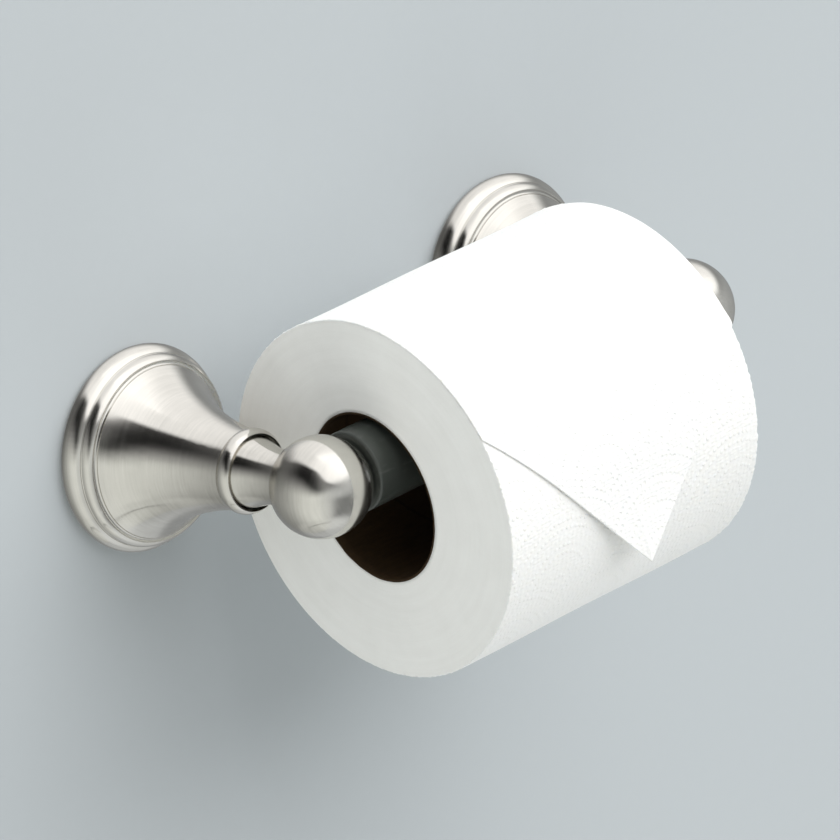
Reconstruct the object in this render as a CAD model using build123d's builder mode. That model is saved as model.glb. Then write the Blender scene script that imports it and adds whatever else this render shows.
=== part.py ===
from build123d import *
import os

# Toilet paper holder: two turned metal posts on a wall, a sprung roller between their ball ends,
# and the paper roll that hangs on it.
# Origin: on the wall, midway between the two posts and on their axes.
# +X runs along the roller to the right, +Y runs into the wall, +Z is up. Millimetres.

os.makedirs("parts", exist_ok=True)

# ---- the holder ----
POST_SPACING = 152.4       # from one post's axis to the other's
PROJECTION = 75.3          # from the wall to the roller's axis, which runs through the ball centres
BALL_RADIUS = 14.85

# Rings of a post, each given by its radius and its distance off the wall.
FOOT_RADIUS = 29.6
FLANGE_RADIUS = 30.4
FLANGE_REACH = 2.4
GROOVE_RADIUS = 28.3
GROOVE_REACH = 6.6
GROOVE_SIZE = 0.3
BEAD_RADIUS = 26.5
BEAD_REACH = 9.5
CONE_RADIUS = 25.1
CONE_REACH = 10.3
TRUMPET = [(18.5, 20), (14.6, 30), (12.3, 40)]
COLLAR_START = 44.6
COLLAR_NECK = 11.7
COLLAR_RADIUS = 12.5
COLLAR_REACH = 49.3        # the collar's front lip
LIP_RADIUS = 11.3

CASTING_WALL = 2.3         # wall of the hollow post
FRONT_WALL = 3.5           # wall that the finial is screwed to
RECESS_RADIUS = 10.9
RECESS_DEPTH = 1.3

# The finial: a waisted neck and a ball, in one piece.
NECK_FOOT_RADIUS = 10.6
NECK_CURVE = [(9.3, 52), (8.1, 57)]
NECK_RADIUS = 7.7
FLAT_OFFSET = 11.2         # from the ball's centre to the flat that faces the roller
SOCKET_RADIUS = 3.6
SOCKET_DEPTH = 7.0

# ---- fasteners ----
SCREW_RADIUS = 2.45
SCREW_LENGTH = 13.0
SCREW_HEAD_RADIUS = 4.6
SCREW_HEAD_HEIGHT = 3.2
SCREW_HOLE_RADIUS = 2.8
TAPPED_RADIUS = 2.5
TAPPED_DEPTH = 11.0
WASHER_RADIUS = 5.2
WASHER_THICKNESS = 1.0
DRIVE_WIDTH = 1.2          # one arm of the screw's cross recess
DRIVE_LENGTH = 5.0
DRIVE_DEPTH = 1.8
SET_SCREW_RADIUS = 1.7
SET_SCREW_HOLE_RADIUS = 1.75
SET_SCREW_REACH = 4.2      # from the wall to the set screw's axis
SET_SCREW_TOP = 29.4       # from the post's axis to the set screw's outer end
SET_SCREW_TIP = 21.0       # and to its point, in the bracket's groove
HEX_SIZE = 1.0             # half the set screw's socket, across flats

# ---- wall bracket ----
BRACKET_RADIUS = 22.0
BRACKET_HEIGHT = 8.0
BRACKET_PLATE = 2.4
BRACKET_RIM = 3.2
BRACKET_GROOVE_RADIUS = 20.4
BRACKET_FOOT_HEIGHT = 1.6
WALL_HOLE_RADIUS = 2.4
WALL_HOLE_SPACING = 25.0

# ---- roller ----
ROLLER_RADIUS = 12.1
ROLLER_EDGE = 0.7          # rounding of the roller's end
ROLLER_END_GAP = 0.8       # between a ball's flat and the roller's end
TUBE_WALL = 1.3
ROLLER_CAP = 2.0
PIN_RADIUS = 3.2
PIN_LENGTH = 6.0
PIN_CHAMFER = 0.7
LARGE_MOUTH = 22.0         # where the large half ends
SMALL_TAIL = -2.0          # where the small half ends, inside the large one
SMALL_RADIUS = 10.3
SLIDE_GAP = 0.2            # between the halves
STOP_LENGTH = 2.0          # the bead and the lip that keep the halves together
SPRING_RADIUS = 7.5
SPRING_WIRE = 1.0
SPRING_PITCH = 5.8
SPRING_TURNS = 10

# ---- paper roll ----
ROLL_RADIUS = 54.1
ROLL_WIDTH = 103.2
ROLL_SHIFT = -5.5          # the roll stands this far off the middle, towards the left post
ROLL_EDGE = 0.8
CORE_BORE_RADIUS = 23.4
CORE_WALL = 0.7            # cardboard
PAPER_GAP = 0.05           # between the core and the first turn of paper
ROLL_GAP = 0.3             # between the roller and the core that hangs on it
SHEET_GAP = 0.1            # between the roll and its loose end
SHEET_THICKNESS = 0.8      # the loose end, doubled where its corners are folded under
SHEET_WRAP = 110.0         # degrees of the roll that the loose end covers, counted from its front
SHEET_DROP = 29.2          # from the height of the roll's axis down to the folded point
SHEET_FOLD_TOP = 26.0      # and up to where the two folds meet the roll's edges

# ---- worked out from them ----
POST_X = POST_SPACING / 2
SEAT_REACH = COLLAR_REACH - RECESS_DEPTH       # the finial's foot stands here, inside the collar's lip
CAVITY_REACH = SEAT_REACH - FRONT_WALL
WASHER_REACH = CAVITY_REACH - WASHER_THICKNESS
BALL_START = PROJECTION - (BALL_RADIUS**2 - NECK_RADIUS**2) ** 0.5
ROLLER_END = POST_X - FLAT_OFFSET - ROLLER_END_GAP
LARGE_BORE = ROLLER_RADIUS - TUBE_WALL
SMALL_BORE = SMALL_RADIUS - TUBE_WALL
CORE_RADIUS = CORE_BORE_RADIUS + CORE_WALL
ROLL_Z = -(CORE_BORE_RADIUS - ROLLER_RADIUS - ROLL_GAP)
ROLL_LEFT = ROLL_SHIFT - ROLL_WIDTH / 2


def post_plane(x):
    """Half-section of the post at x: local X is the radius and local Y the distance off the wall."""
    return Plane(origin=(x, 0, 0), x_dir=(1, 0, 0), z_dir=(0, 0, -1))


def reach_plane(x, reach):
    """Plane across the post at x, this far off the wall, facing away from the wall, with local Y up."""
    return Plane(origin=(x, -reach, 0), x_dir=(1, 0, 0), z_dir=(0, -1, 0))


def end_plane(x, z=0.0):
    """Plane across the roller or the roll at x, facing +X, with local X towards the wall and local Y up."""
    return Plane(origin=(x, -PROJECTION, z), x_dir=(0, 1, 0), z_dir=(1, 0, 0))


def spin_post(x, mode=Mode.ADD):
    revolve(axis=Axis((x, 0, 0), (0, -1, 0)), mode=mode)


def save(piece, name):
    piece.part.label = name
    export_step(piece.part, f"parts/{name}.step")


def make_post(x):
    """Hollow turned casting: a ringed flange, a trumpet and a collar, open at the wall."""
    with BuildPart() as post:
        with BuildSketch(post_plane(x)):
            with BuildLine():
                Polyline((0, COLLAR_REACH), (0, 0), (FOOT_RADIUS, 0))
                rim = ThreePointArc(
                    (FOOT_RADIUS, 0),
                    (FLANGE_RADIUS, FLANGE_REACH),
                    (GROOVE_RADIUS, GROOVE_REACH - GROOVE_SIZE),
                )
                groove = ThreePointArc(
                    rim @ 1,
                    (GROOVE_RADIUS - 1.3 * GROOVE_SIZE, GROOVE_REACH),
                    (GROOVE_RADIUS - GROOVE_SIZE / 2, GROOVE_REACH + GROOVE_SIZE),
                )
                bead = ThreePointArc(
                    groove @ 1,
                    (BEAD_RADIUS + 1.2, BEAD_REACH - 1.1),
                    (BEAD_RADIUS, BEAD_REACH),
                )
                cove = ThreePointArc(
                    bead @ 1,
                    (CONE_RADIUS + 0.5, BEAD_REACH - 0.1),
                    (CONE_RADIUS, CONE_REACH),
                )
                trumpet = Spline(cove @ 1, *TRUMPET, (COLLAR_NECK, COLLAR_START))
                collar = ThreePointArc(
                    trumpet @ 1,
                    (COLLAR_RADIUS, (COLLAR_START + COLLAR_REACH) / 2),
                    (LIP_RADIUS, COLLAR_REACH),
                )
                Line(collar @ 1, (0, COLLAR_REACH))
            make_face()
        spin_post(x)
        # The cavity follows the trumpet, one wall thickness inside it.
        with BuildSketch(post_plane(x)):
            with BuildLine():
                Polyline(
                    (0, CAVITY_REACH),
                    (0, 0),
                    (FOOT_RADIUS - 1.3 * CASTING_WALL, 0),
                    (FOOT_RADIUS - 1.3 * CASTING_WALL, GROOVE_REACH - GROOVE_SIZE),
                    (CONE_RADIUS - CASTING_WALL, CONE_REACH),
                )
                inner = Spline(
                    (CONE_RADIUS - CASTING_WALL, CONE_REACH),
                    *[(radius - CASTING_WALL, reach) for radius, reach in TRUMPET],
                    (COLLAR_NECK - CASTING_WALL, CAVITY_REACH),
                )
                Line(inner @ 1, (0, CAVITY_REACH))
            make_face()
        spin_post(x, Mode.SUBTRACT)
        with BuildSketch(reach_plane(x, COLLAR_REACH)):
            Circle(RECESS_RADIUS)
        extrude(amount=-RECESS_DEPTH, mode=Mode.SUBTRACT)
        with BuildSketch(reach_plane(x, SEAT_REACH)):
            Circle(SCREW_HOLE_RADIUS)
        extrude(amount=-FRONT_WALL, mode=Mode.SUBTRACT)
        with BuildSketch(Plane(origin=(x, -SET_SCREW_REACH, -BRACKET_RADIUS), z_dir=(0, 0, -1))):
            Circle(SET_SCREW_HOLE_RADIUS)
        extrude(amount=FLANGE_RADIUS, mode=Mode.SUBTRACT)
    return post


def make_finial(x, inward):
    """Neck and ball, with a tapped hole in the foot and a blind socket for the roller's pin."""
    with BuildPart() as finial:
        with BuildSketch(post_plane(x)):
            with BuildLine():
                Polyline((0, PROJECTION + BALL_RADIUS), (0, SEAT_REACH), (NECK_FOOT_RADIUS, SEAT_REACH))
                foot = Line((NECK_FOOT_RADIUS, SEAT_REACH), (NECK_FOOT_RADIUS, SEAT_REACH + 0.5))
                neck = Spline(foot @ 1, *NECK_CURVE, (NECK_RADIUS, BALL_START))
                ThreePointArc(neck @ 1, (BALL_RADIUS, PROJECTION), (0, PROJECTION + BALL_RADIUS))
            make_face()
        spin_post(x)
        with BuildSketch(reach_plane(x, SEAT_REACH)):
            Circle(TAPPED_RADIUS)
        extrude(amount=TAPPED_DEPTH, mode=Mode.SUBTRACT)
        flat = end_plane(x + inward * FLAT_OFFSET)
        with BuildSketch(flat):
            Circle(BALL_RADIUS)
        extrude(amount=inward * BALL_RADIUS, mode=Mode.SUBTRACT)
        with BuildSketch(flat):
            Circle(SOCKET_RADIUS)
        extrude(amount=-inward * SOCKET_DEPTH, mode=Mode.SUBTRACT)
    return finial


def make_finial_screw(x):
    """Pan-head screw, driven from inside the post into the finial's foot."""
    with BuildPart() as screw:
        with BuildSketch(reach_plane(x, WASHER_REACH)):
            Circle(SCREW_RADIUS)
        extrude(amount=SCREW_LENGTH)
        with BuildSketch(reach_plane(x, WASHER_REACH)):
            Circle(SCREW_HEAD_RADIUS)
        extrude(amount=-SCREW_HEAD_HEIGHT)
        back_edge = screw.edges().filter_by(GeomType.CIRCLE).sort_by(Axis.Y)[-1]
        fillet(back_edge, radius=SCREW_HEAD_HEIGHT / 3)
        with BuildSketch(reach_plane(x, WASHER_REACH - SCREW_HEAD_HEIGHT)):
            Rectangle(DRIVE_WIDTH, DRIVE_LENGTH)
            Rectangle(DRIVE_LENGTH, DRIVE_WIDTH)
        extrude(amount=DRIVE_DEPTH, mode=Mode.SUBTRACT)
    return screw


def make_washer(x):
    with BuildPart() as washer:
        with BuildSketch(reach_plane(x, WASHER_REACH)):
            Circle(WASHER_RADIUS)
            Circle(SCREW_HOLE_RADIUS, mode=Mode.SUBTRACT)
        extrude(amount=WASHER_THICKNESS)
    return washer


def make_bracket(x):
    """Cast dish that is screwed to the wall. The set screw pulls the post back on its grooved rim."""
    with BuildPart() as bracket:
        with BuildSketch(post_plane(x)):
            with BuildLine():
                Polyline(
                    (0, BRACKET_PLATE),
                    (0, 0),
                    (BRACKET_RADIUS, 0),
                    (BRACKET_RADIUS, BRACKET_FOOT_HEIGHT),
                    (BRACKET_GROOVE_RADIUS, SET_SCREW_REACH),
                    (BRACKET_RADIUS - 0.6, BRACKET_HEIGHT),
                    (BRACKET_RADIUS - BRACKET_RIM, BRACKET_HEIGHT),
                    (BRACKET_GROOVE_RADIUS - BRACKET_RIM, BRACKET_PLATE),
                    close=True,
                )
            make_face()
        spin_post(x)
        with BuildSketch(reach_plane(x, 0)):
            with GridLocations(0, WALL_HOLE_SPACING, 1, 2):
                Circle(WALL_HOLE_RADIUS)
        extrude(amount=BRACKET_PLATE, mode=Mode.SUBTRACT)
    return bracket


def make_set_screw(x):
    """Headless screw in the underside of the flange, with a cone point and a hexagon socket."""
    point = SET_SCREW_RADIUS / 2
    with BuildPart() as screw:
        with BuildSketch(Plane(origin=(x, -SET_SCREW_REACH, -SET_SCREW_TOP), z_dir=(0, 0, 1))):
            Circle(SET_SCREW_RADIUS)
        extrude(amount=SET_SCREW_TOP - SET_SCREW_TIP)
        chamfer(screw.edges().sort_by(Axis.Z)[-1], length=point)
        with BuildSketch(Plane(origin=(x, -SET_SCREW_REACH, -SET_SCREW_TOP), z_dir=(0, 0, 1))):
            RegularPolygon(HEX_SIZE, 6, major_radius=False)
        extrude(amount=2 * HEX_SIZE, mode=Mode.SUBTRACT)
    return screw


for side, post_x, inward in (("left", -POST_X, 1), ("right", POST_X, -1)):
    save(make_post(post_x), f"{side}_post")
    save(make_finial(post_x, inward), f"{side}_finial")
    save(make_finial_screw(post_x), f"{side}_finial_screw")
    save(make_washer(post_x), f"{side}_finial_washer")
    save(make_bracket(post_x), f"{side}_wall_bracket")
    save(make_set_screw(post_x), f"{side}_set_screw")

# The large half of the roller: a tube closed at the left, with a pin for the left ball's socket.
with BuildPart() as roller_large_half:
    with BuildSketch(end_plane(-ROLLER_END)):
        Circle(ROLLER_RADIUS)
    extrude(amount=ROLLER_END + LARGE_MOUTH)
    fillet(roller_large_half.edges().group_by(Axis.X)[0], radius=ROLLER_EDGE)
    with BuildSketch(end_plane(-ROLLER_END)):
        Circle(PIN_RADIUS)
    extrude(amount=-PIN_LENGTH)
    chamfer(roller_large_half.edges().group_by(Axis.X)[0], length=PIN_CHAMFER)
    with BuildSketch(end_plane(-ROLLER_END + ROLLER_CAP)):
        Circle(LARGE_BORE)
    extrude(amount=ROLLER_END - ROLLER_CAP + LARGE_MOUTH - STOP_LENGTH, mode=Mode.SUBTRACT)
    with BuildSketch(end_plane(LARGE_MOUTH - STOP_LENGTH)):
        Circle(SMALL_RADIUS + SLIDE_GAP)
    extrude(amount=STOP_LENGTH, mode=Mode.SUBTRACT)
save(roller_large_half, "roller_large_half")

# The small half slides in the large one. A bead at its inner end catches on the large half's lip,
# and a web across it carries the spring.
with BuildPart() as roller_small_half:
    with BuildSketch(end_plane(SMALL_TAIL)):
        Circle(SMALL_RADIUS)
    extrude(amount=ROLLER_END - SMALL_TAIL)
    fillet(roller_small_half.edges().group_by(Axis.X)[-1], radius=ROLLER_EDGE)
    with BuildSketch(end_plane(SMALL_TAIL)):
        Circle(LARGE_BORE - SLIDE_GAP)
    extrude(amount=STOP_LENGTH)
    with BuildSketch(end_plane(SMALL_TAIL + ROLLER_CAP)):
        Circle(SMALL_BORE)
    extrude(amount=ROLLER_END - SMALL_TAIL - 2 * ROLLER_CAP, mode=Mode.SUBTRACT)
    with BuildSketch(end_plane(ROLLER_END)):
        Circle(PIN_RADIUS)
    extrude(amount=PIN_LENGTH)
    chamfer(roller_small_half.edges().group_by(Axis.X)[-1], length=PIN_CHAMFER)
save(roller_small_half, "roller_small_half")

# The spring fills the large half's bore from its cap to the small half's web.
with BuildPart() as roller_spring:
    spring_length = SPRING_PITCH * SPRING_TURNS
    spring_middle = (-ROLLER_END + ROLLER_CAP + SMALL_TAIL) / 2
    spring_start = (spring_middle - spring_length / 2, -PROJECTION, 0)
    with BuildLine() as coil:
        Helix(SPRING_PITCH, spring_length, SPRING_RADIUS, center=spring_start, direction=(1, 0, 0))
    with BuildSketch(Plane(origin=coil.line @ 0, z_dir=coil.line % 0)):
        Circle(SPRING_WIRE / 2)
    sweep(path=coil.line, is_frenet=True)
save(roller_spring, "roller_spring")

# The roll hangs on the roller: its axis lies below the roller's by the play between them.
with BuildPart() as cardboard_core:
    with BuildSketch(end_plane(ROLL_LEFT, ROLL_Z)):
        Circle(CORE_RADIUS - PAPER_GAP)
        Circle(CORE_BORE_RADIUS, mode=Mode.SUBTRACT)
    extrude(amount=ROLL_WIDTH)
save(cardboard_core, "cardboard_core")

with BuildPart() as paper_roll:
    with BuildSketch(end_plane(ROLL_LEFT, ROLL_Z)):
        Circle(ROLL_RADIUS)
    extrude(amount=ROLL_WIDTH)
    fillet(paper_roll.edges().filter_by(GeomType.CIRCLE), radius=ROLL_EDGE)
    with BuildSketch(end_plane(ROLL_LEFT, ROLL_Z)):
        Circle(CORE_RADIUS)
    extrude(amount=ROLL_WIDTH, mode=Mode.SUBTRACT)
save(paper_roll, "paper_roll")

# The loose end comes over the top and hangs straight down from the roll's front, and its two
# corners are folded under at about 45 degrees, so it ends in a point.
with BuildPart() as loose_sheet:
    inside = ROLL_RADIUS + SHEET_GAP
    outside = inside + SHEET_THICKNESS
    with BuildSketch(end_plane(ROLL_LEFT, ROLL_Z)):
        with BuildLine():
            over = CenterArc((0, 0), outside, 180 - SHEET_WRAP, SHEET_WRAP)
            under = CenterArc((0, 0), inside, 180 - SHEET_WRAP, SHEET_WRAP)
            Line(over @ 0, under @ 0)
            Polyline(over @ 1, (-outside, -SHEET_DROP), (-inside, -SHEET_DROP), under @ 1)
        make_face()
    extrude(amount=ROLL_WIDTH)
    with BuildSketch(Plane(origin=(ROLL_SHIFT, 0, ROLL_Z), x_dir=(1, 0, 0), z_dir=(0, -1, 0))):
        with BuildLine():
            Polyline(
                (0, -SHEET_DROP),
                (ROLL_WIDTH / 2, SHEET_FOLD_TOP),
                (ROLL_WIDTH / 2, 2 * ROLL_RADIUS),
                (-ROLL_WIDTH / 2, 2 * ROLL_RADIUS),
                (-ROLL_WIDTH / 2, SHEET_FOLD_TOP),
                close=True,
            )
        make_face()
    extrude(amount=PROJECTION + 2 * ROLL_RADIUS, mode=Mode.INTERSECT)
save(loose_sheet, "loose_sheet")
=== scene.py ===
"""Looks of the wall-mounted toilet paper holder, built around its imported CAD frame. Metres, +Z up."""
import math
import random

import bmesh
import bpy
import numpy as np
from mathutils import Matrix, Vector


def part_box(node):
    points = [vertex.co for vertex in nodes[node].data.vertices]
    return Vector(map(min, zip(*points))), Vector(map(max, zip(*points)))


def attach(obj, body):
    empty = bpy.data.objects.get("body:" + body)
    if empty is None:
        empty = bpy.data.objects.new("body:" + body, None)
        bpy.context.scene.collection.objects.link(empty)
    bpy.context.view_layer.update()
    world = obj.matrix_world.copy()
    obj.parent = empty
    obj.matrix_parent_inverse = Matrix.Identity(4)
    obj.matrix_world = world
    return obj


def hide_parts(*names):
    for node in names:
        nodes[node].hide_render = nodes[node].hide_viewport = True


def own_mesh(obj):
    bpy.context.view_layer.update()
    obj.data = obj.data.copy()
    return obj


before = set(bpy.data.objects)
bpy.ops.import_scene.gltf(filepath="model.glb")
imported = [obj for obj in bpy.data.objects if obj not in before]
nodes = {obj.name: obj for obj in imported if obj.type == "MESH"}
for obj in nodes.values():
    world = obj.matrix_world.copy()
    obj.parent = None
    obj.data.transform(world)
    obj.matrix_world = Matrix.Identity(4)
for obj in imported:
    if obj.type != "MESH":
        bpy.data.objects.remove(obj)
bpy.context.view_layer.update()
random.seed(7)

MM = 0.001
FULL_TURN = 2 * math.pi
CORE_WALL = 0.65 * MM
CORE_SLIP = 0.05 * MM  # between the core and the paper around it

# ---- places and sizes, all from the frame ----
ROLL_LO, ROLL_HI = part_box("paper_roll")
CORE_LO, CORE_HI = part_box("cardboard_core")
POST_LO, POST_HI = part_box("left_post")
ROLL_Y = (CORE_LO.y + CORE_HI.y) / 2
ROLL_Z = (CORE_LO.z + CORE_HI.z) / 2
ROLL_RADIUS = (ROLL_HI.z - ROLL_LO.z) / 2
ROLL_LEFT, ROLL_RIGHT = ROLL_LO.x, ROLL_HI.x
ROLL_MIDDLE = (ROLL_LEFT + ROLL_RIGHT) / 2
CORE_RADIUS = (CORE_HI.z - CORE_LO.z) / 2
CORE_BORE = CORE_RADIUS - CORE_WALL
POST_X = -(POST_LO.x + POST_HI.x) / 2
SHEET_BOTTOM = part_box("loose_sheet")[0].z
ROLLER_LO, ROLLER_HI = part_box("roller_large_half")
ROLLER_Y = (ROLLER_LO.y + ROLLER_HI.y) / 2
ROLLER_Z = (ROLLER_LO.z + ROLLER_HI.z) / 2


def make_camera():
    """A long lens that looks from the front left and from above, rolled a little to one side."""
    azimuth, elevation, roll = math.radians(-43.087), math.radians(20.017), math.radians(-8.248)
    target, distance = Vector((-0.00176, -0.040, -0.01235)), 2.7487
    back = Vector((
        math.sin(azimuth) * math.cos(elevation),
        -math.cos(azimuth) * math.cos(elevation),
        math.sin(elevation),
    ))
    right = (-back).cross(Vector((0, 0, 1))).normalized()
    up = right.cross(-back)
    tilted_right = right * math.cos(roll) + up * math.sin(roll)
    tilted_up = up * math.cos(roll) - right * math.sin(roll)
    data = bpy.data.cameras.new("camera")
    data.lens, data.sensor_width = 406.376, 36
    data.clip_start, data.clip_end = 0.1, 20
    camera = bpy.data.objects.new("camera", data)
    bpy.context.scene.collection.objects.link(camera)
    turn = Matrix((tilted_right, tilted_up, back)).transposed().to_4x4()
    camera.matrix_world = Matrix.Translation(target + back * distance) @ turn
    bpy.context.scene.camera = camera


make_camera()


# ---- material helpers ----
class Graph:
    """Short calls for building the nodes of one material or of the world."""

    def __init__(self, owner):
        owner.use_nodes = True
        self.owner = owner
        self.tree = owner.node_tree
        self.shader = self.tree.nodes.get("Principled BSDF")

    def node(self, kind, **settings):
        made = self.tree.nodes.new(kind)
        for key, value in settings.items():
            setattr(made, key, value)
        return made

    def link(self, source, target):
        self.tree.links.new(source, target)

    def feed(self, socket, value):
        if isinstance(value, bpy.types.NodeSocket):
            self.link(value, socket)
        else:
            socket.default_value = value

    def math(self, operation, a, b=0.0, c=0.0):
        made = self.node("ShaderNodeMath", operation=operation)
        for socket, value in zip(made.inputs, (a, b, c)):
            self.feed(socket, value)
        return made.outputs[0]

    def add(self, a, b):
        return self.math("ADD", a, b)

    def minus(self, a, b):
        return self.math("SUBTRACT", a, b)

    def times(self, a, b):
        return self.math("MULTIPLY", a, b)

    def over(self, a, b):
        return self.math("DIVIDE", a, b)

    def length(self, a, b):
        return self.math("SQRT", self.add(self.times(a, a), self.times(b, b)))

    def around(self, a, b):
        """The radius of a place a, b about an axis, and the cosine and sine of its angle, without a seam."""
        radius = self.length(a, b)
        return radius, self.over(a, radius), self.over(b, radius)

    def split(self, vector):
        made = self.node("ShaderNodeSeparateXYZ")
        self.link(vector, made.inputs[0])
        return made.outputs[0], made.outputs[1], made.outputs[2]

    def place(self):
        """X, Y and Z of the shaded point in the object's frame, as three values."""
        return self.split(self.node("ShaderNodeTexCoord").outputs["Object"])

    def vector(self, x, y, z):
        made = self.node("ShaderNodeCombineXYZ")
        for socket, value in zip(made.inputs, (x, y, z)):
            self.feed(socket, value)
        return made.outputs[0]

    def noise(self, vector, scale, detail=3.0, roughness=0.5):
        made = self.node("ShaderNodeTexNoise")
        self.link(vector, made.inputs["Vector"])
        made.inputs["Scale"].default_value = scale
        made.inputs["Detail"].default_value = detail
        made.inputs["Roughness"].default_value = roughness
        return made.outputs["Fac"]

    def remap(self, value, source, target, smooth=False):
        """The value, carried from one range to another and held inside it."""
        made = self.node("ShaderNodeMapRange", interpolation_type="SMOOTHSTEP" if smooth else "LINEAR")
        sockets = ("Value", "From Min", "From Max", "To Min", "To Max")
        for name, fed in zip(sockets, (value, *source, *target)):
            self.feed(made.inputs[name], fed)
        return made.outputs[0]

    def ramp(self, value, stops):
        """The colour at this value, in straight lines between the stops, which are in rising order."""
        made = self.node("ShaderNodeValToRGB")
        self.link(value, made.inputs[0])
        elements = made.color_ramp.elements
        elements[0].position, elements[1].position = stops[0][0], stops[-1][0]
        elements[0].color, elements[1].color = (*stops[0][1], 1), (*stops[-1][1], 1)
        for position, colour in stops[1:-1]:
            elements.new(position).color = (*colour, 1)
        return made.outputs[0]

    def bump(self, height, distance, strength=1.0, normal=None):
        made = self.node("ShaderNodeBump")
        made.inputs["Strength"].default_value = strength
        made.inputs["Distance"].default_value = distance
        self.link(height, made.inputs["Height"])
        if normal is not None:
            self.link(normal, made.inputs["Normal"])
        return made.outputs[0]

    def mix(self, share, a, b):
        """The colour at this share of the way from a to b."""
        made = self.node("ShaderNodeMix", data_type="RGBA")
        colours = [socket for socket in made.inputs if socket.type == "RGBA"]
        for socket, value in zip((made.inputs[0], *colours), (share, a, b)):
            self.feed(socket, value)
        return next(socket for socket in made.outputs if socket.type == "RGBA")

    def paint(self, **values):
        """Feeds the shader: underscores in a name stand for spaces."""
        for key, value in values.items():
            self.feed(self.shader.inputs[key.replace("_", " ")], value)


def material_graph(name):
    return Graph(bpy.data.materials.new(name))


# ---- metals and plastic ----
def brushed_nickel():
    """Satin nickel, brushed around the post: fine rings that smear a reflection along the post's length."""
    g = material_graph("brushed_nickel")
    x, y, z = g.place()
    radius, cosine, sine = g.around(g.minus(g.math("ABSOLUTE", x), POST_X), z)

    def rings(per_metre, slope):
        """Noise in rings about the axis, drawn out to cones by the slope."""
        step = g.times(g.add(y, g.times(radius, slope)), per_metre)
        return g.noise(g.vector(cosine, sine, step), scale=1.0, detail=4.0, roughness=0.6)

    lines = g.add(g.times(rings(4200, 0.6), 0.5), g.times(rings(1500, -0.6), 0.5))
    clouds = g.noise(g.vector(x, y, z), scale=55.0, detail=3.0)
    tone = g.remap(lines, (0.3, 0.7), (-0.19, 0.19))
    shades = [(0.25, (0.64, 0.62, 0.578)), (0.75, (0.785, 0.760, 0.712))]
    g.paint(Base_Color=g.ramp(g.add(clouds, tone), shades))
    g.paint(Roughness=g.remap(g.add(lines, g.times(clouds, 0.4)), (0.4, 1.0), (0.11, 0.19)))
    g.paint(Normal=g.bump(lines, distance=0.004 * MM, strength=0.5))
    tangent = g.node("ShaderNodeTangent", direction_type="RADIAL", axis="Y")
    g.paint(Tangent=tangent.outputs[0])
    g.paint(Metallic=1.0, Anisotropic=1.0, Anisotropic_Rotation=0.25)
    return g.owner


def plated_steel():
    """Zinc-plated steel: bright grey with a faint bluish and yellowish cloud."""
    g = material_graph("zinc_plated_steel")
    x, y, z = g.place()
    point = g.vector(x, y, z)
    clouds = g.noise(point, scale=240.0, detail=3.0)
    grain = g.noise(point, scale=3000.0, detail=2.0)
    shades = [(0.3, (0.50, 0.52, 0.55)), (0.5, (0.58, 0.58, 0.57)), (0.7, (0.62, 0.60, 0.54))]
    g.paint(Base_Color=g.ramp(clouds, shades))
    g.paint(Roughness=g.remap(grain, (0.3, 0.7), (0.26, 0.40)))
    g.paint(Normal=g.bump(grain, distance=0.01 * MM, strength=0.5))
    g.paint(Metallic=1.0)
    return g.owner


def cast_zinc():
    """Raw zinc casting: dull grey skin with a fine orange-peel surface."""
    g = material_graph("cast_zinc")
    x, y, z = g.place()
    point = g.vector(x, y, z)
    skin = g.noise(point, scale=900.0, detail=4.0, roughness=0.6)
    clouds = g.noise(point, scale=110.0, detail=3.0)
    g.paint(Base_Color=g.ramp(clouds, [(0.3, (0.40, 0.40, 0.40)), (0.7, (0.54, 0.54, 0.53))]))
    g.paint(Roughness=g.remap(skin, (0.3, 0.7), (0.42, 0.60)))
    g.paint(Normal=g.bump(skin, distance=0.05 * MM, strength=0.6))
    g.paint(Metallic=1.0)
    return g.owner


def moulded_plastic():
    """Dark grey polypropylene: low sheen, a faint draw along its length, and paler scuffs."""
    g = material_graph("moulded_plastic")
    x, y, z = g.place()
    drawn = g.noise(g.vector(g.times(x, 0.12), y, z), scale=2600.0, detail=3.0)
    scuffs = g.noise(g.vector(g.times(x, 0.3), y, z), scale=420.0, detail=5.0, roughness=0.7)
    worn = g.remap(scuffs, (0.56, 0.72), (0.0, 1.0))
    g.paint(Base_Color=g.ramp(worn, [(0.0, (0.050, 0.056, 0.050)), (1.0, (0.080, 0.086, 0.078))]))
    g.paint(Roughness=g.remap(g.add(drawn, worn), (0.3, 1.5), (0.28, 0.48)))
    g.paint(Normal=g.bump(drawn, distance=0.012 * MM, strength=0.5))
    return g.owner


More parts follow.
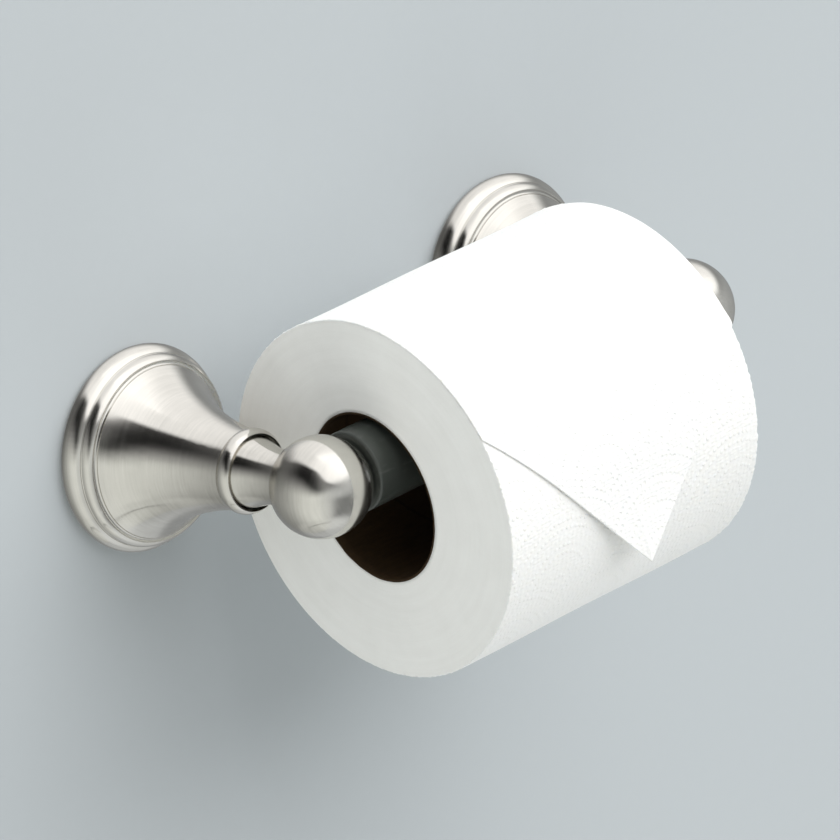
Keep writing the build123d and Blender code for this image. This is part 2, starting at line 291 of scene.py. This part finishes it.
# ---- paper and cardboard ----
def fans(g, u, v):
    """An embossed pattern of fans in staggered rows, each of nested arcs of round dots.

    Returns how much of a dot is here, from 0 to 1, and whether the arc here is one that has dots.
    """
    across, along = 36 * MM, 26 * MM  # one fan
    pitch, spacing = 2.6 * MM, 1.8 * MM  # from arc to arc, and from dot to dot
    full, edge = 0.30 * MM, 0.72 * MM  # a dot's radius where it starts to fade, and where it ends
    row = g.math("FLOOR", g.over(v, along))
    stagger = g.times(g.math("MODULO", g.math("ABSOLUTE", row), 2.0), across / 2)
    shifted = g.add(u, stagger)
    column = g.math("FLOOR", g.over(shifted, across))
    from_middle = g.minus(g.minus(shifted, g.times(column, across)), across / 2)
    up = g.minus(v, g.times(row, along))
    radius = g.length(from_middle, up)
    arc = g.math("ROUND", g.over(radius, pitch))
    arc_radius = g.times(arc, pitch)
    off_arc = g.minus(radius, arc_radius)
    turn = g.math("ARCTAN2", up, from_middle)
    run = g.times(turn, arc_radius)
    off_dot = g.minus(run, g.times(g.math("ROUND", g.over(run, spacing)), spacing))
    gap = g.length(off_arc, off_dot)
    dots = g.remap(gap, (full, edge), (1.0, 0.0), smooth=True)
    # Every third arc is left plain.
    wanted = g.math("GREATER_THAN", g.math("MODULO", arc, 3.0), 0.5)
    return g.times(dots, wanted), wanted


def embossed_tissue():
    """Quilted tissue: fans of dots over a field of fine dashes, on soft fibrous paper."""
    g = material_graph("embossed_tissue")
    u, v, _ = g.split(g.node("ShaderNodeUVMap", uv_map="cut").outputs[0])
    dots, wanted = fans(g, u, v)
    across, along = 560, 900  # dashes in a metre
    dashes = g.node("ShaderNodeTexVoronoi", feature="SMOOTH_F1", voronoi_dimensions="2D")
    g.link(g.vector(g.times(u, across), g.times(v, along), 0.0), dashes.inputs["Vector"])
    dashes.inputs["Scale"].default_value = 1.0
    dashes.inputs["Randomness"].default_value = 0.45
    dash = g.remap(dashes.outputs["Distance"], (0.15, 0.55), (1.0, 0.0), smooth=True)
    field = g.times(dash, g.minus(1.0, g.times(wanted, 0.65)))
    flat = g.vector(u, v, 0.0)
    fibres = g.noise(flat, scale=2600.0, detail=5.0, roughness=0.65)
    cockle = g.noise(flat, scale=90.0, detail=2.0)
    pressed = g.remap(g.noise(flat, scale=170.0, detail=2.0), (0.38, 0.58), (-0.35, -1.0))
    relief = g.add(g.times(dots, pressed), g.times(field, -0.60))
    normal = g.bump(cockle, distance=0.5 * MM, strength=0.25)
    normal = g.bump(relief, distance=0.20 * MM, strength=0.85, normal=normal)
    normal = g.bump(fibres, distance=0.03 * MM, strength=0.5, normal=normal)
    g.paint(Normal=normal)
    tone = g.add(g.times(fibres, 0.5), g.times(relief, -0.12))
    g.paint(Base_Color=g.ramp(tone, [(0.1, (0.84, 0.835, 0.815)), (0.6, (0.905, 0.90, 0.885))]))
    g.paint(Roughness=g.remap(fibres, (0.3, 0.7), (0.80, 0.95)))
    g.paint(Sheen_Weight=0.15, Sheen_Roughness=0.6, Specular_IOR_Level=0.25)
    g.paint(Subsurface_Weight=0.5, Subsurface_Scale=0.15 * MM, Subsurface_Radius=(1.0, 0.95, 0.85))
    return g.owner


def cut_tissue():
    """The sawn ends of the roll: the edges of many thin turns, soft and slightly uneven."""
    g = material_graph("cut_tissue")
    x, y, z = g.place()
    radius, cosine, sine = g.around(g.minus(y, ROLL_Y), g.minus(z, ROLL_Z))
    # Both of these change fast along the radius and slowly round the axis.
    fine = g.vector(g.times(cosine, 2.2), g.times(sine, 2.2), g.times(radius, 4200))
    turns = g.noise(fine, scale=1.0, detail=4.0, roughness=0.6)
    bands = g.noise(g.vector(cosine, sine, g.times(radius, 500)), scale=1.0, detail=3.0)
    fibres = g.noise(g.vector(x, y, z), scale=2200.0, detail=5.0, roughness=0.7)
    mottle = g.noise(g.vector(x, y, z), scale=130.0, detail=3.0)
    tone = g.add(g.times(g.add(turns, fibres), 0.22), g.times(g.add(bands, mottle), 0.28))
    g.paint(Base_Color=g.ramp(tone, [(0.35, (0.87, 0.862, 0.83)), (0.65, (0.94, 0.935, 0.905))]))
    normal = g.bump(bands, distance=0.07 * MM, strength=0.35)
    normal = g.bump(turns, distance=0.035 * MM, strength=0.5, normal=normal)
    normal = g.bump(fibres, distance=0.05 * MM, strength=0.6, normal=normal)
    g.paint(Normal=normal)
    g.paint(Roughness=g.remap(fibres, (0.3, 0.7), (0.85, 0.98)))
    g.paint(Sheen_Weight=0.2, Sheen_Roughness=0.7, Specular_IOR_Level=0.2)
    return g.owner


def board_darkened_as_shade():
    """Spiral-wound brown board, its colour made far darker than real board's as painted shade for the tube's
    dark inside: fibres along the tube, specks, and the winding's darker seam.
    """
    g = material_graph("board_darkened_as_shade")
    x, y, z = g.place()
    dy, dz = g.minus(y, ROLL_Y), g.minus(z, ROLL_Z)
    angle = g.over(g.math("ARCTAN2", dz, dy), FULL_TURN)
    lead = 75 * MM  # along the tube for one turn of the winding
    winding = g.math("FRACT", g.add(g.over(x, lead), angle))
    seam = g.remap(g.math("ABSOLUTE", g.minus(winding, 0.5)), (0.0, 0.012), (1.0, 0.0))
    fibres = g.noise(g.vector(g.times(x, 0.15), y, z), scale=900.0, detail=5.0, roughness=0.65)
    specks = g.noise(g.vector(x, y, z), scale=900.0, detail=4.0, roughness=0.7)
    tone = g.minus(g.times(g.add(fibres, specks), 0.5), g.times(seam, 0.25))
    # The board's brown is darkened nearly to black: painted shade that stands for the shade inside the tube.
    g.paint(Base_Color=g.ramp(tone, [(0.3, (0.020, 0.011, 0.004)), (0.7, (0.050, 0.028, 0.011))]))
    normal = g.bump(seam, distance=0.15 * MM, strength=0.8)
    normal = g.bump(specks, distance=0.05 * MM, strength=0.6, normal=normal)
    g.paint(Normal=normal)
    g.paint(Roughness=g.remap(specks, (0.3, 0.7), (0.78, 0.92)))
    g.paint(Specular_IOR_Level=0.25)
    return g.owner


def use(material, *names):
    """Gives these CAD pieces one material."""
    for name in names:
        mesh = nodes[name].data
        mesh.materials.clear()
        mesh.materials.append(material)


NICKEL, STEEL, ZINC, PLASTIC = brushed_nickel(), plated_steel(), cast_zinc(), moulded_plastic()
TISSUE, TISSUE_END, BOARD_DARKENED_AS_SHADE = embossed_tissue(), cut_tissue(), board_darkened_as_shade()
for side in ("left", "right"):
    use(NICKEL, f"{side}_post", f"{side}_finial")
    use(STEEL, f"{side}_finial_screw", f"{side}_finial_washer", f"{side}_set_screw")
    use(ZINC, f"{side}_wall_bracket")
use(PLASTIC, "roller_large_half", "roller_small_half")


# ---- mesh helpers ----
def wander(values, waves, reach, periods):
    """Random unevenness round a full turn, at each of the values: a sum of sines that close on themselves."""
    total = np.zeros_like(values)
    for _ in range(waves):
        period = random.randint(*periods)
        size, phase = math.sin(random.uniform(0, FULL_TURN)), random.uniform(0, 6.28)
        total = total + size * np.sin(period * values + phase)
    return reach * total / waves ** 0.5


def progress(value, start, end):
    """How far the value has come from start to end: 0 at start, 1 at end, and held between the two."""
    return np.clip((value - start) / (end - start), 0, 1)


def ease(share):
    """A share from 0 to 1, given a level start and a level end."""
    return share * share * (3 - 2 * share)


def make_piece(name, points, faces, materials, face_material=None, uv=None):
    """A mesh piece from arrays. uv gives each corner's place in the flat cut, in metres."""
    mesh = bpy.data.meshes.new(name)
    mesh.from_pydata([tuple(p) for p in points], [], faces)
    mesh.validate()
    for material in materials:
        mesh.materials.append(material)
    if face_material is not None:
        mesh.polygons.foreach_set("material_index", face_material)
    if uv is not None:
        layer = mesh.uv_layers.new(name="cut")
        layer.data.foreach_set("uv", np.asarray(uv, np.float32).ravel())
    mesh.polygons.foreach_set("use_smooth", [True] * len(mesh.polygons))
    mesh.update()
    made = bpy.data.objects.new(name, mesh)
    bpy.context.scene.collection.objects.link(made)
    return made


def ring_faces(rings, turns, closed):
    """Quads between neighbouring rings of vertices. closed joins the last ring to the first."""
    faces = []
    for i in range(rings if closed else rings - 1):
        for j in range(turns):
            k = (j + 1) % turns
            n = (i + 1) % rings
            faces.append((i * turns + j, n * turns + j, n * turns + k, i * turns + k))
    return faces


# ---- the core and the wound paper ----
# The core's left end has been pushed slightly oval, taller than it is wide.
OVAL_LONG, OVAL_SHORT, OVAL_TILT = 1.070, 0.990, math.radians(76.3)
OVAL_LIFT, OVAL_DEPTH = 0.7 * MM, 50 * MM


def pushed_oval(x, y, z):
    """Moves points of the round bore, given about its axis, to where the oval end puts them."""
    share = ease(progress(x, ROLL_LEFT + OVAL_DEPTH, ROLL_LEFT))
    c, s = math.cos(OVAL_TILT), math.sin(OVAL_TILT)
    long_part = (y * c + z * s) * (1 + (OVAL_LONG - 1) * share)
    short_part = (-y * s + z * c) * (1 + (OVAL_SHORT - 1) * share)
    return long_part * c - short_part * s, long_part * s + short_part * c + OVAL_LIFT * share


def make_core(turns=240, stations=34):
    """The cardboard tube: thin, oval at its left end, with slightly uneven sawn ends."""
    turn = np.linspace(0, FULL_TURN, turns, endpoint=False)
    shares = np.linspace(0, 1, stations)
    profile = [(s, CORE_RADIUS - CORE_SLIP) for s in shares] + [(s, CORE_BORE) for s in shares[::-1]]
    points = []
    for share, radius in profile:
        end = 1.0 if share in (0.0, 1.0) else 0.0
        x = ROLL_LEFT + share * (ROLL_RIGHT - ROLL_LEFT) + end * wander(turn, 9, 0.10 * MM, (9, 70))
        bent = radius + end * wander(turn, 4, 0.03 * MM, (2, 6))
        y, z = pushed_oval(x, bent * np.cos(turn), bent * np.sin(turn))
        points.append(np.stack([x, ROLL_Y + y, ROLL_Z + z], 1))
    faces = ring_faces(len(profile), turns, True)
    return make_piece("cardboard_tube", np.concatenate(points), faces, [BOARD_DARKENED_AS_SHADE])


END_X = {-1: ROLL_LEFT, 1: ROLL_RIGHT}  # the roll's ends, -1 for the left one
RIM = 0.45 * MM  # the radius that rounds the edge of each end


def roll_profile():
    """The roll's closed outline in order, as what each ring lies on, its place, and how far along it is.

    The place is x on the side and in the bore, and -1 or 1 on the left and right ends and rims. How far
    along is the share of the way from the bore to the rim on an end, and degrees round on a rim.
    """
    shares, leans = np.linspace(0, 1, 26), np.linspace(0, 90, 6)[1:-1]
    left = [("end", -1, share) for share in shares] + [("rim", -1, lean) for lean in leans]
    side = [("side", x, 0) for x in np.linspace(ROLL_LEFT + RIM, ROLL_RIGHT - RIM, 70)]
    right = [("rim", 1, lean) for lean in leans[::-1]] + [("end", 1, share) for share in shares[::-1]]
    bore = [("bore", x, 0) for x in np.linspace(ROLL_RIGHT, ROLL_LEFT, 24)[1:-1]]
    return left + side + right + bore


def roll_ring(kind, place, far, turn, outer, fuzz):
    """One ring of the outline, as x, y and z, with y and z from the roll's axis."""
    c, s = np.cos(turn), np.sin(turn)
    if kind == "bore":
        x = np.full(turn.shape, place)
        return x, *pushed_oval(x, CORE_RADIUS * c, CORE_RADIUS * s)
    if kind == "end":
        bore_y, bore_z = pushed_oval(np.full(turn.shape, END_X[place]), CORE_RADIUS * c, CORE_RADIUS * s)
        edge = outer - RIM + 0.6 * fuzz[place]
        dish = 0.10 * MM * math.sin(3.1 * far * math.pi) ** 2 if 0 < far < 1 else 0.0
        x = END_X[place] - place * (dish + 0.5 * np.abs(fuzz[place]) * far ** 6)
        return x, bore_y + (edge * c - bore_y) * far, bore_z + (edge * s - bore_z) * far
    if kind == "rim":
        lean = math.radians(far)
        radius = outer - RIM + RIM * math.sin(lean) + fuzz[place]
        x = END_X[place] - place * RIM * (1 - math.cos(lean)) + 0.6 * fuzz[place]
        return x, radius * c, radius * s
    from_end, nearest = min((place - ROLL_LEFT, -1), (ROLL_RIGHT - place, 1))
    radius = outer + fuzz[nearest] * math.exp(-(from_end - RIM) / (0.9 * MM))
    radius = radius + 0.12 * MM * math.sin((place - ROLL_LEFT) * 95) * np.sin(turn * 3 + 1)
    return np.full(turn.shape, place), radius * c, radius * s


def make_roll(turns=480):
    """The wound paper: an embossed side, sawn ends with soft uneven rims, and a bore that fits the core."""
    turn = np.linspace(0, FULL_TURN, turns, endpoint=False)
    outer = ROLL_RADIUS - 0.12 * MM + wander(turn, 5, 0.10 * MM, (2, 5))
    fuzz = {end: wander(turn, 60, 0.16 * MM, (30, 235)) for end in (-1, 1)}
    profile = roll_profile()
    rings = [roll_ring(*ring, turn, outer, fuzz) for ring in profile]
    points = np.concatenate([np.stack([x, ROLL_Y + y, ROLL_Z + z], 1) for x, y, z in rings])
    faces = ring_faces(len(profile), turns, True)
    kinds = [kind for kind, _, _ in profile]
    paint = []
    for kind, following in zip(kinds, kinds[1:] + kinds[:1]):
        paint += [0 if {kind, following} <= {"side", "rim"} else 1] * turns
    # The side's pattern runs up from the roll's front, so that it meets the loose end's.
    run = ROLL_RADIUS * np.arctan2(points[:, 2] - ROLL_Z, ROLL_Y - points[:, 1])
    whole = FULL_TURN * ROLL_RADIUS
    uv = []
    for face in faces:
        first = run[face[0]]
        uv += [(points[i, 0], run[i] - whole * round((run[i] - first) / whole)) for i in face]
    return make_piece("wound_paper", points, faces, [TISSUE, TISSUE_END], paint, uv)


# ---- the loose end ----
# Both corners are folded under along slanted lines that meet in a point. s runs along the paper: up
# over the roll above zero, straight down from its front below zero.
TIP_X = ROLL_MIDDLE + 0.7 * MM
TIP_S = SHEET_BOTTOM - ROLL_Z
FOLD_TOP = {-1: 26.8 * MM, 1: 25.0 * MM}  # s where each fold meets the roll's end
BACK_S = ROLL_RADIUS * math.radians(110)
FOLD_RADIUS = 0.20 * MM
PAPER = 0.12 * MM
# How far the sheet is moved off the roll or towards it: everywhere, over the folds, at the back, in its
# ripples, at the point, along its crease and at its cut edges.
REST_LIFT, FOLD_LIFT, TUCK, RIPPLE = 0.14 * MM, 0.44 * MM, 0.55 * MM, 0.10 * MM
CURL, CREASE, LEAN = 0.35 * MM, 0.55 * MM, 0.32 * MM


def lift_of(x, s):
    """How far the loose end's top layer stands off the roll.

    It is more over the folded corners and at the point. At the back it is less than none, where the sheet
    goes into the roll's surface and is one with it.
    """
    folded = ease(progress(s, 50 * MM, 16 * MM))
    tucked = progress(s, BACK_S - 22 * MM, BACK_S - 2 * MM)
    curled = progress(s, -8 * MM, -29 * MM)
    free = progress(s, 70 * MM, 30 * MM)
    ripples = np.sin(x * 120 + s * 60) * np.sin(s * 95 - x * 35 + 1)
    lift = REST_LIFT + FOLD_LIFT * folded - TUCK * tucked * tucked
    return lift + RIPPLE * ripples * free + CURL * curled * curled


def crease_of(x, s):
    """A ridge from the point upwards, where the folded corners meet beneath, steep on its right."""
    share = progress(s, TIP_S, TIP_S + 26 * MM)
    off = x - (TIP_X - 3.6 * MM * share)
    left, right = progress(off, -5 * MM, 0), progress(off, 1.6 * MM, 0)
    ridge = np.where(off < 0, left * left, right * right)
    fading = progress(share, 1, 0.2)
    rising = np.maximum(progress(share, 0, 1 / 6), 0.25)
    return CREASE * ridge * fading * rising


def lean_of(x, s):
    """How far the loose end's two cut edges lean down over the roll's rounded rims, above the folds."""
    from_end = np.minimum(x - ROLL_LEFT, ROLL_RIGHT - x)
    near = progress(from_end, 0.6 * MM, 0)
    top = max(FOLD_TOP.values())
    above = progress(s, top, top + 3 * MM)
    return LEAN * near * near * above


def on_roll(x, s, height):
    """Points at this height off the roll, on its top above s = 0 and straight down from its front below."""
    climb = np.maximum(s, 0) / ROLL_RADIUS
    reach = ROLL_RADIUS + height
    y = ROLL_Y - reach * np.cos(climb)
    z = ROLL_Z + reach * np.sin(climb) + np.minimum(s, 0)
    return np.stack([x, y, z], -1)


def folded_place(x, s, side):
    """Where a point of the flat cut goes once its corner is folded under, on this side (-1 left, 1 right)."""
    width, height = abs(END_X[side] - TIP_X), FOLD_TOP[side] - TIP_S
    size = math.hypot(width, height)
    ex, es = width / size, height / size
    a, b = (x - TIP_X) * side, s - TIP_S
    # along is measured on the fold's line from the point, and beyond is how far outside that line it is.
    along, beyond = a * ex + b * es, a * es - b * ex
    band = FOLD_RADIUS * math.pi / 2
    bend = np.clip((beyond + band) / FOLD_RADIUS, 0, math.pi)
    inside = np.where(beyond < band, -band + FOLD_RADIUS * np.sin(bend), -beyond)
    inside = np.where(beyond < -band, beyond, inside)
    depth = FOLD_RADIUS * (1 - np.cos(bend))
    a, b = along * ex + inside * es, along * es - inside * ex
    return TIP_X + a * side, TIP_S + b, depth


def half_grid(side, columns=64):
    """Rows of flat-cut points for one half, from the back to the point, and from the middle outwards."""
    # Each row has extra points at these distances from its fold.
    near_fold = np.array([0, 0.12, 0.24, 0.36, 0.48, 0.6, 0.8]) * MM
    outer = abs(END_X[side] - TIP_X)
    high, low = max(FOLD_TOP.values()), min(FOLD_TOP.values())
    levels = [*np.linspace(BACK_S, high, 70), (high + low) / 2, *np.linspace(low, TIP_S, 90)]
    rows = []
    for s in levels:
        fold = outer * progress(s, TIP_S, FOLD_TOP[side])
        inner_part = np.minimum(near_fold, fold * 0.5)
        main = np.concatenate([np.linspace(0, fold - inner_part[-1], columns), fold - inner_part[::-1][1:]])
        flap_part = np.minimum(near_fold, (outer - fold) * 0.5)
        flap = np.concatenate([fold + flap_part[1:], np.linspace(fold + flap_part[-1], outer, columns)[1:]])
        a = np.concatenate([main, flap])
        rows.append(np.stack([TIP_X + a * side, np.full(a.shape, s)], 1))
    return np.array(rows)


def make_loose_end():
    """One thin sheet that comes over the roll and hangs from its front, with both corners folded under."""
    points, uv_of, faces = [], [], []
    for side in (-1, 1):
        grid = half_grid(side)
        rows, columns = grid.shape[:2]
        x, s, depth = folded_place(grid[..., 0], grid[..., 1], side)
        height = lift_of(x, s) - lean_of(x, s) - depth + crease_of(x, s) * (depth < FOLD_RADIUS)
        start = sum(len(p) for p in points)
        points.append(on_roll(x, s, height).reshape(-1, 3))
        uv_of.append(grid.reshape(-1, 2))
        for i in range(rows - 1):
            for j in range(columns - 1):
                first = start + i * columns + j
                quad = (first, first + columns, first + columns + 1, first + 1)
                faces.append(quad if side < 0 else quad[::-1])
    points, uv_of = np.concatenate(points), np.concatenate(uv_of)
    uv = [tuple(uv_of[i]) for face in faces for i in face]
    made = make_piece("loose_end", points, faces, [TISSUE], None, uv)
    # The two halves share the points on the middle line, and each half's own run together at the point.
    shape = bmesh.new()
    shape.from_mesh(made.data)
    bmesh.ops.remove_doubles(shape, verts=shape.verts, dist=0.002 * MM)
    bmesh.ops.dissolve_degenerate(shape, edges=shape.edges, dist=0.002 * MM)
    shape.to_mesh(made.data)
    shape.free()
    thicken = made.modifiers.new("thickness", "SOLIDIFY")
    thicken.thickness = PAPER
    thicken.offset = 0
    return made


# ---- the roller's spring ----
SPRING_WIRE = 0.5 * MM  # the wire's radius


def make_coil(turns=10, steps=40, around_wire=10):
    """The roller's spring again, as a coil of wire of its own."""
    low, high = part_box("roller_spring")
    coil_radius = (high.z - low.z) / 2 - SPRING_WIRE
    start = low.x + SPRING_WIRE
    pitch = (high.x - low.x - 2 * SPRING_WIRE) / turns
    lean = math.atan2(pitch, FULL_TURN * coil_radius)
    sweep = np.linspace(0, FULL_TURN * turns, turns * steps + 1)
    points = []
    for turn in sweep:
        out = np.array([0, math.cos(turn), math.sin(turn)])
        across = np.array([math.cos(lean), math.sin(lean) * math.sin(turn), -math.sin(lean) * math.cos(turn)])
        middle = np.array([start + pitch * turn / FULL_TURN, ROLLER_Y, ROLLER_Z]) + coil_radius * out
        for part in np.linspace(0, FULL_TURN, around_wire, endpoint=False):
            points.append(middle + SPRING_WIRE * (math.cos(part) * out + math.sin(part) * across))
    faces = ring_faces(len(sweep), around_wire, False)
    last = len(points) - around_wire
    faces += [tuple(range(around_wire))[::-1], tuple(last + i for i in range(around_wire))]
    return make_piece("coil_spring", points, faces, [STEEL])


core = make_core()
wound = make_roll()
loose = make_loose_end()
coil = make_coil()
for piece, node, slot, body in (
    (core, "cardboard_core", "core", "roll"),
    (wound, "paper_roll", "paper", "roll"),
    (loose, "loose_sheet", "paper", "roll"),
    (coil, "roller_spring", "steel", "roller_large"),
):
    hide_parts(node)
    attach(piece, body)
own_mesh(coil)


# ---- the room: a pale wall behind and a pale floor ----
def room_paint(name, colour):
    """Plain matt paint, seen only from the room's side."""
    g = material_graph(name)
    x, y, z = g.place()
    rolled = g.noise(g.vector(x, y, z), scale=260.0, detail=2.0)
    g.paint(Base_Color=g.ramp(rolled, [(0.3, tuple(0.994 * part for part in colour)), (0.7, colour)]))
    g.paint(Normal=g.bump(rolled, distance=0.02 * MM, strength=0.3))
    g.paint(Roughness=0.9, Specular_IOR_Level=0.3)
    one_sided = g.node("ShaderNodeMixShader")
    from_behind = g.node("ShaderNodeNewGeometry").outputs["Backfacing"]
    clear = g.node("ShaderNodeBsdfTransparent").outputs[0]
    for source, socket in zip((from_behind, g.shader.outputs[0], clear), one_sided.inputs):
        g.link(source, socket)
    g.link(one_sided.outputs[0], g.tree.nodes["Material Output"].inputs["Surface"])
    return g.owner


def stage_plane(name, place, turn, material):
    """A square of the room, which is no part of the object."""
    bpy.ops.mesh.primitive_plane_add(size=4, location=place, rotation=turn)
    made = bpy.context.object
    made.name = name
    made.data.materials.append(material)
    return made


WALL_PAINT = room_paint("wall_paint", (0.460, 0.492, 0.508))
FLOOR_PAINT = room_paint("floor_paint", (0.75, 0.75, 0.74))
wall = stage_plane("wall", (0, 0.0006, 0), (math.pi / 2, 0, 0), WALL_PAINT)
# The metal reflects the studio all round, behind the wall too, as if the wall weren't there.
wall.visible_glossy = False
floor = stage_plane("floor", (0, -1.2, -0.75), (0, 0, 0), FLOOR_PAINT)
# The floor is there to be seen, and lights and shades nothing: the studio's light comes from below it too.
floor.visible_diffuse = floor.visible_glossy = floor.visible_shadow = False

# ---- the studio that the metal reflects ----
# By azimuth (0 straight out from the wall, 90 to the right) and elevation, in degrees: a big box of light
# overhead, whose lower edge slants down to the front right, a dark band under it, and pale surroundings
# below, with one darker patch towards the viewer and a thin gap lower down.
BOX_EDGE = [(-180, 38), (-160, 46), (-144, 57), (-110, 64), (-84, 63), (-60, 59), (-48, 54), (-38, 42),
            (-28, 27), (-12, 21), (20, 18), (72, 19), (96, 22), (132, 27), (156, 25), (180, 38)]
BOX_BLUR = [(-180, 34), (-150, 18), (-120, 9), (60, 8), (90, 18), (130, 32), (180, 34)]
BOX_GLOW = [(-180, 1.0), (-100, 1.0), (-60, 1.2), (-30, 1.3), (0, 1.5), (20, 1.6), (60, 1.6), (84, 1.2),
            (120, 1.08), (180, 1.0)]
BAND_GLOW = [(-180, 0.10), (-150, 0.14), (-130, 0.07), (-105, 0.01), (-57, 0.01), (-47, 0.15), (-36, 0.3),
             (5, 0.34), (40, 0.50), (90, 0.34), (120, 0.30), (150, 0.42), (180, 0.10)]
FLOOR_EDGE = [(-180, -15), (-150, 12), (-120, 22), (-90, 19), (-72, 12), (-60, 6), (-48, 6), (-24, 11),
              (0, 12), (120, 4), (180, -15)]
FLOOR_BLUR = [(-180, 50), (-90, 48), (-72, 38), (-60, 26), (-40, 16), (90, 14), (180, 50)]
FLOOR_GLOW = [(-180, 0.25), (-150, 0.32), (-120, 0.50), (-100, 0.72), (-84, 0.84), (-60, 0.90),
              (-35, 0.76), (-20, 0.70), (60, 0.55), (90, 0.45), (120, 0.35), (180, 0.25)]
LOW_GLOW = [(-180, 0.50), (-100, 0.66), (-60, 0.84), (30, 0.84), (90, 0.66), (180, 0.50)]
PATCH_GLOW, GAP_GLOW = 0.27, 0.34
WARM, COOL, WHITE = (0.985, 1.01, 0.97), (0.955, 0.99, 1.0), (1.0, 1.0, 1.0)


def studio():
    """The world, as one function of direction."""
    world = bpy.data.worlds.new("studio")
    bpy.context.scene.world = world
    g = Graph(world)
    x, y, z = g.split(g.node("ShaderNodeTexCoord").outputs["Generated"])
    azimuth = g.times(g.math("ARCTAN2", x, g.times(y, -1.0)), math.degrees(1))
    elevation = g.times(g.math("ARCSINE", z), math.degrees(1))

    def table(places, spread):
        """The value at this azimuth, in straight lines between the places given, all within spread."""
        stops = [((place + 180) / 360, [0.5 + 0.5 * value / spread] * 3) for place, value in places]
        stored = g.ramp(g.over(g.add(azimuth, 180.0), 360.0), stops)
        return g.times(g.minus(stored, 0.5), 2 * spread)

    def above(value, edge, blur):
        """0 well below the edge and 1 well above it."""
        source = (g.times(blur, -0.5), g.times(blur, 0.5))
        return g.remap(g.minus(value, edge), source, (0.0, 1.0), smooth=True)

    def within(value, low, high, blur):
        """1 between low and high, and 0 outside them."""
        return g.times(above(value, low, blur), g.minus(1.0, above(value, high, blur)))

    def blend(share, low, high):
        """The value at this share of the way from low to high."""
        return g.add(low, g.times(share, g.minus(high, low)))

    glow = blend(above(elevation, -56.0, 8.0), table(LOW_GLOW, 1.0), table(FLOOR_GLOW, 1.0))
    patch = g.times(within(azimuth, -20.0, 48.0, 24.0), within(elevation, -54.0, -11.0, 16.0))
    glow = blend(patch, glow, PATCH_GLOW)
    gap = g.times(within(elevation, -68.5, -66.5, 1.6), g.minus(1.0, above(azimuth, -25.0, 20.0)))
    glow = blend(gap, glow, GAP_GLOW)
    band = above(elevation, table(FLOOR_EDGE, 90.0), table(FLOOR_BLUR, 90.0))
    glow = blend(band, glow, table(BAND_GLOW, 1.0))
    box = above(elevation, table(BOX_EDGE, 90.0), table(BOX_BLUR, 90.0))
    glow = blend(box, glow, table(BOX_GLOW, 2.0))

    tint = g.mix(above(azimuth, -35.0, 60.0), (*WARM, 1), (*COOL, 1))
    tint = g.mix(above(elevation, 20.0, 30.0), tint, (*WHITE, 1))
    background = g.tree.nodes["Background"]
    g.link(tint, background.inputs["Color"])
    g.link(glow, background.inputs["Strength"])
    # The studio's light reaches things only by the paths that happen to meet it. Shadow rays towards it
    # would be stopped by the wall.
    world.cycles.sampling_method = "NONE"


LIT_PLACE = Vector((0, -0.06, 0))  # the lamps point here


def soft_light(name, azimuth, elevation, distance, radius, power, colour):
    """A round lamp that lights the wall and the paper. The metal reflects the studio instead of it."""
    a, e = math.radians(azimuth), math.radians(elevation)
    toward = Vector((math.sin(a) * math.cos(e), -math.cos(a) * math.cos(e), math.sin(e)))
    data = bpy.data.lights.new(name, "AREA")
    data.shape, data.size, data.energy, data.color = "DISK", 2 * radius, power, colour
    lamp = bpy.data.objects.new(name, data)
    bpy.context.scene.collection.objects.link(lamp)
    turn = toward.to_track_quat("Z", "Y").to_matrix().to_4x4()
    lamp.matrix_world = Matrix.Translation(LIT_PLACE + toward * distance) @ turn
    lamp.visible_glossy = lamp.visible_camera = False


studio()
soft_light("key", 32, 46, 2.6, 1.82, 62, (1.0, 1.0, 1.0))
soft_light("upper_left_fill", -84, 45, 1.8, 0.8, 6.8, (1.0, 0.98, 0.95))
soft_light("lower_left_fill", -84, -45, 1.8, 0.8, 6.8, (1.0, 1.0, 0.97))
soft_light("low_front_fill", 35, -48, 2.0, 0.8, 6, (0.97, 1.0, 1.0))
bpy.context.scene.view_settings.view_transform = "Standard"
